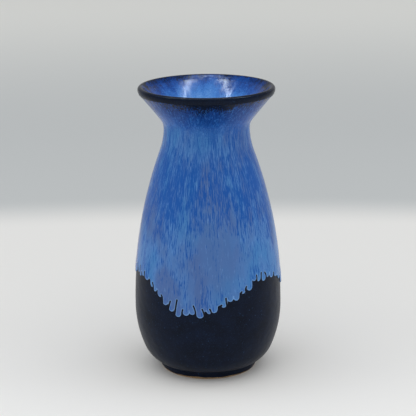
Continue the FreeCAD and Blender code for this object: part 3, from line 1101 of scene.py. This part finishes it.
    def build(self) -> bpy.types.Object:
        """Cuts the flat sheet, thickens it, rolls it round the vase and dresses it."""
        sheet = self.flat_sheet()
        bpy.ops.object.mode_set(mode="EDIT")
        bpy.ops.mesh.select_all(action="SELECT")
        bpy.ops.mesh.extrude_region_move(TRANSFORM_OT_translate={"value": (0, 0, 0)})
        bpy.ops.object.mode_set(mode="OBJECT")
        outer = np.zeros(len(sheet.data.vertices), bool)
        sheet.data.vertices.foreach_get("select", outer)
        self.open_seam(sheet)
        flat = points_of(sheet) * MM
        angle, height = flat[:, 0], flat[:, 1]
        rim, cleft = self.field(flat)
        rim = np.maximum(rim, 0)
        line, normal, along = self.side_line()
        offset = np.where(outer, self.under + self.depth(angle, height, rim), self.under - 0.05)
        place = np.interp(height, line[:, 1], along)
        reach, level = (np.interp(place, along, line[:, axis]) for axis in (0, 1))
        out_reach, out_level = (np.interp(place, along, normal[:, axis]) for axis in (0, 1))
        reach = reach + offset * out_reach
        level = level + offset * out_level
        front = angle - math.pi / 2
        place_points(sheet, np.column_stack([reach * np.cos(front), reach * np.sin(front), level]))
        store(sheet, "rim", rim)
        store(sheet, "cleft", cleft)
        self.store_flow(sheet, front, place)
        tidy_shell(sheet, 70)
        return self.finish(sheet, BlueRunningGlaze().material())


# ---------------------------------------------------------------- studio


@dataclass(frozen=True)
class Lamp:
    """One soft lamp: where it is, where it points, how wide and long it is, and its power. Metres.

    One that gleams shows in glossy surfaces and throws no other light. One that doesn't shows in none.
    """

    name: str
    place: tuple[float, float, float]
    aim: tuple[float, float, float]
    size: tuple[float, float]
    power: float
    gleams: bool = False


@dataclass
class Studio:
    """A pale floor under soft light, and the camera."""

    lens: float = 121.2
    camera_place: tuple[float, float, float] = (0.0004, -0.7725, 0.3076)
    pitch: float = 15.46
    roll: float = -0.45
    floor_reach: float = 8.0
    pale_edge: float = 0.29
    pale_reach: float = 1.6
    lamps: tuple[Lamp, ...] = (
        Lamp("strip_left", (-0.26, -0.02, 0.72), (0, 0, 0.12), (0.04, 0.6), 2.9, True),
        Lamp("strip_right", (0.26, -0.02, 0.72), (0, 0, 0.12), (0.04, 0.6), 2.9, True),
        Lamp("ceiling", (0, -1.1, 2.4), (0, -1.1, 0), (5, 5), 64),
        Lamp("side_left", (-1.3, 0.1, 0.6), (0, 0, 0), (1.4, 1.0), 3),
        Lamp("side_right", (1.3, 0.1, 0.6), (0, 0, 0), (1.4, 1.0), 3),
        Lamp("front_right", (0.33, -0.85, 0.25), (0, 0, 0.1), (0.06, 0.5), 0.2, True),
    )

    def build(self) -> None:
        """Makes the floor, the surroundings, the lamps and the camera."""
        self.make_floor()
        self.make_surroundings()
        for lamp in self.lamps:
            self.make_lamp(lamp)
        self.make_camera()
        bpy.context.scene.view_settings.view_transform = "Standard"

    def make_floor(self) -> None:
        """A wide plain floor with painted light and shade in its colour: a painted pool of light in front of
        the vase, painted shade greying it softly away behind the vase, and painted light paling it again far
        off.
        """
        deselect_all()
        bpy.ops.mesh.primitive_plane_add(size=2 * self.floor_reach)
        floor = bpy.context.object
        floor.name = "floor"
        material, tree, shader = new_material("matt_paper")
        place = add(tree, "ShaderNodeTexCoord").outputs["Object"]
        reach = distance(tree, place, (0, self.pale_edge - self.pale_reach, 0))
        pattern = Pattern(tree, place)
        start = self.pale_reach
        # painted light: the floor in front of the vase, towards the camera, is paler
        near = pattern.rise(reach, start - 0.2, start - 0.38)
        colour = pattern.mix(near, Colour.FLOOR.rgba, Colour.NEAR_PAINTED_LIGHT.rgba)
        # painted shade: a grey band behind the vase, where a backdrop would turn away from the light
        colour = pattern.mix(pattern.rise(reach, start, start + 0.09), colour, Colour.BACKDROP_PAINTED_SHADE.rgba)
        # painted light: the floor pales again far off
        colour = pattern.mix(pattern.rise(reach, start + 0.3, start + 1.5), colour, Colour.FAR_PAINTED_LIGHT.rgba)
        tree.links.new(colour, shader.inputs["Base Color"])
        shader.inputs["Roughness"].default_value = 0.75
        floor.data.materials.append(material)

    def make_surroundings(self) -> None:
        """Even pale light from all round."""
        world = bpy.data.worlds.new("pale_room")
        world.use_nodes = True
        tree = world.node_tree
        tree.nodes.clear()
        place = add(tree, "ShaderNodeTexCoord").outputs["Generated"]
        up = Pattern(tree, place).rise(axis(tree, place, 2), -0.1, 0.8)
        stops = ((0, (0.87, 0.88, 0.89, 1)), (1, (0.92, 0.94, 0.97, 1)))
        tone = add(tree, "ShaderNodeValToRGB", {0: up}, stops)
        light = add(tree, "ShaderNodeBackground", {"Color": tone.outputs[0], "Strength": 0.5})
        add(tree, "ShaderNodeOutputWorld", {"Surface": light.outputs[0]})
        bpy.context.scene.world = world

    def make_lamp(self, lamp: Lamp) -> None:
        """A rectangular area lamp that the camera doesn't see."""
        aim = Vector(lamp.aim) - Vector(lamp.place)
        turn = aim.to_track_quat("-Z", "Y").to_euler()
        bpy.ops.object.light_add(type="AREA", location=lamp.place, rotation=turn)
        made = bpy.context.object
        made.name = lamp.name
        made.data.shape = "RECTANGLE"
        made.data.size, made.data.size_y = lamp.size
        made.data.energy = lamp.power
        made.data.color = (0.8, 0.92, 1.0) if lamp.gleams else (1, 1, 1)
        made.visible_camera = False
        made.visible_diffuse = not lamp.gleams
        made.visible_glossy = lamp.gleams

    def make_camera(self) -> None:
        """The camera, looking slightly down at the front of the vase."""
        aim = Matrix.Rotation(math.radians(90 - self.pitch), 3, "X")
        turn = (aim @ Matrix.Rotation(math.radians(self.roll), 3, "Z")).to_euler()
        bpy.ops.object.camera_add(location=self.camera_place, rotation=turn)
        camera = bpy.context.object
        camera.data.lens = self.lens
        camera.data.clip_start = 0.05
        bpy.context.scene.camera = camera


def main() -> None:
    """Builds the studio and the vase's pieces from the clay outwards."""
    logging.basicConfig(level=logging.INFO, format="%(name)s: %(message)s")
    Studio().build()
    outline = Outline()
    for kind in (ClayBody, BaseCoat, RunningCoat, LiningCoat, RecessCoat):
        kind(outline).build()


if __name__ == "__main__":
    main()
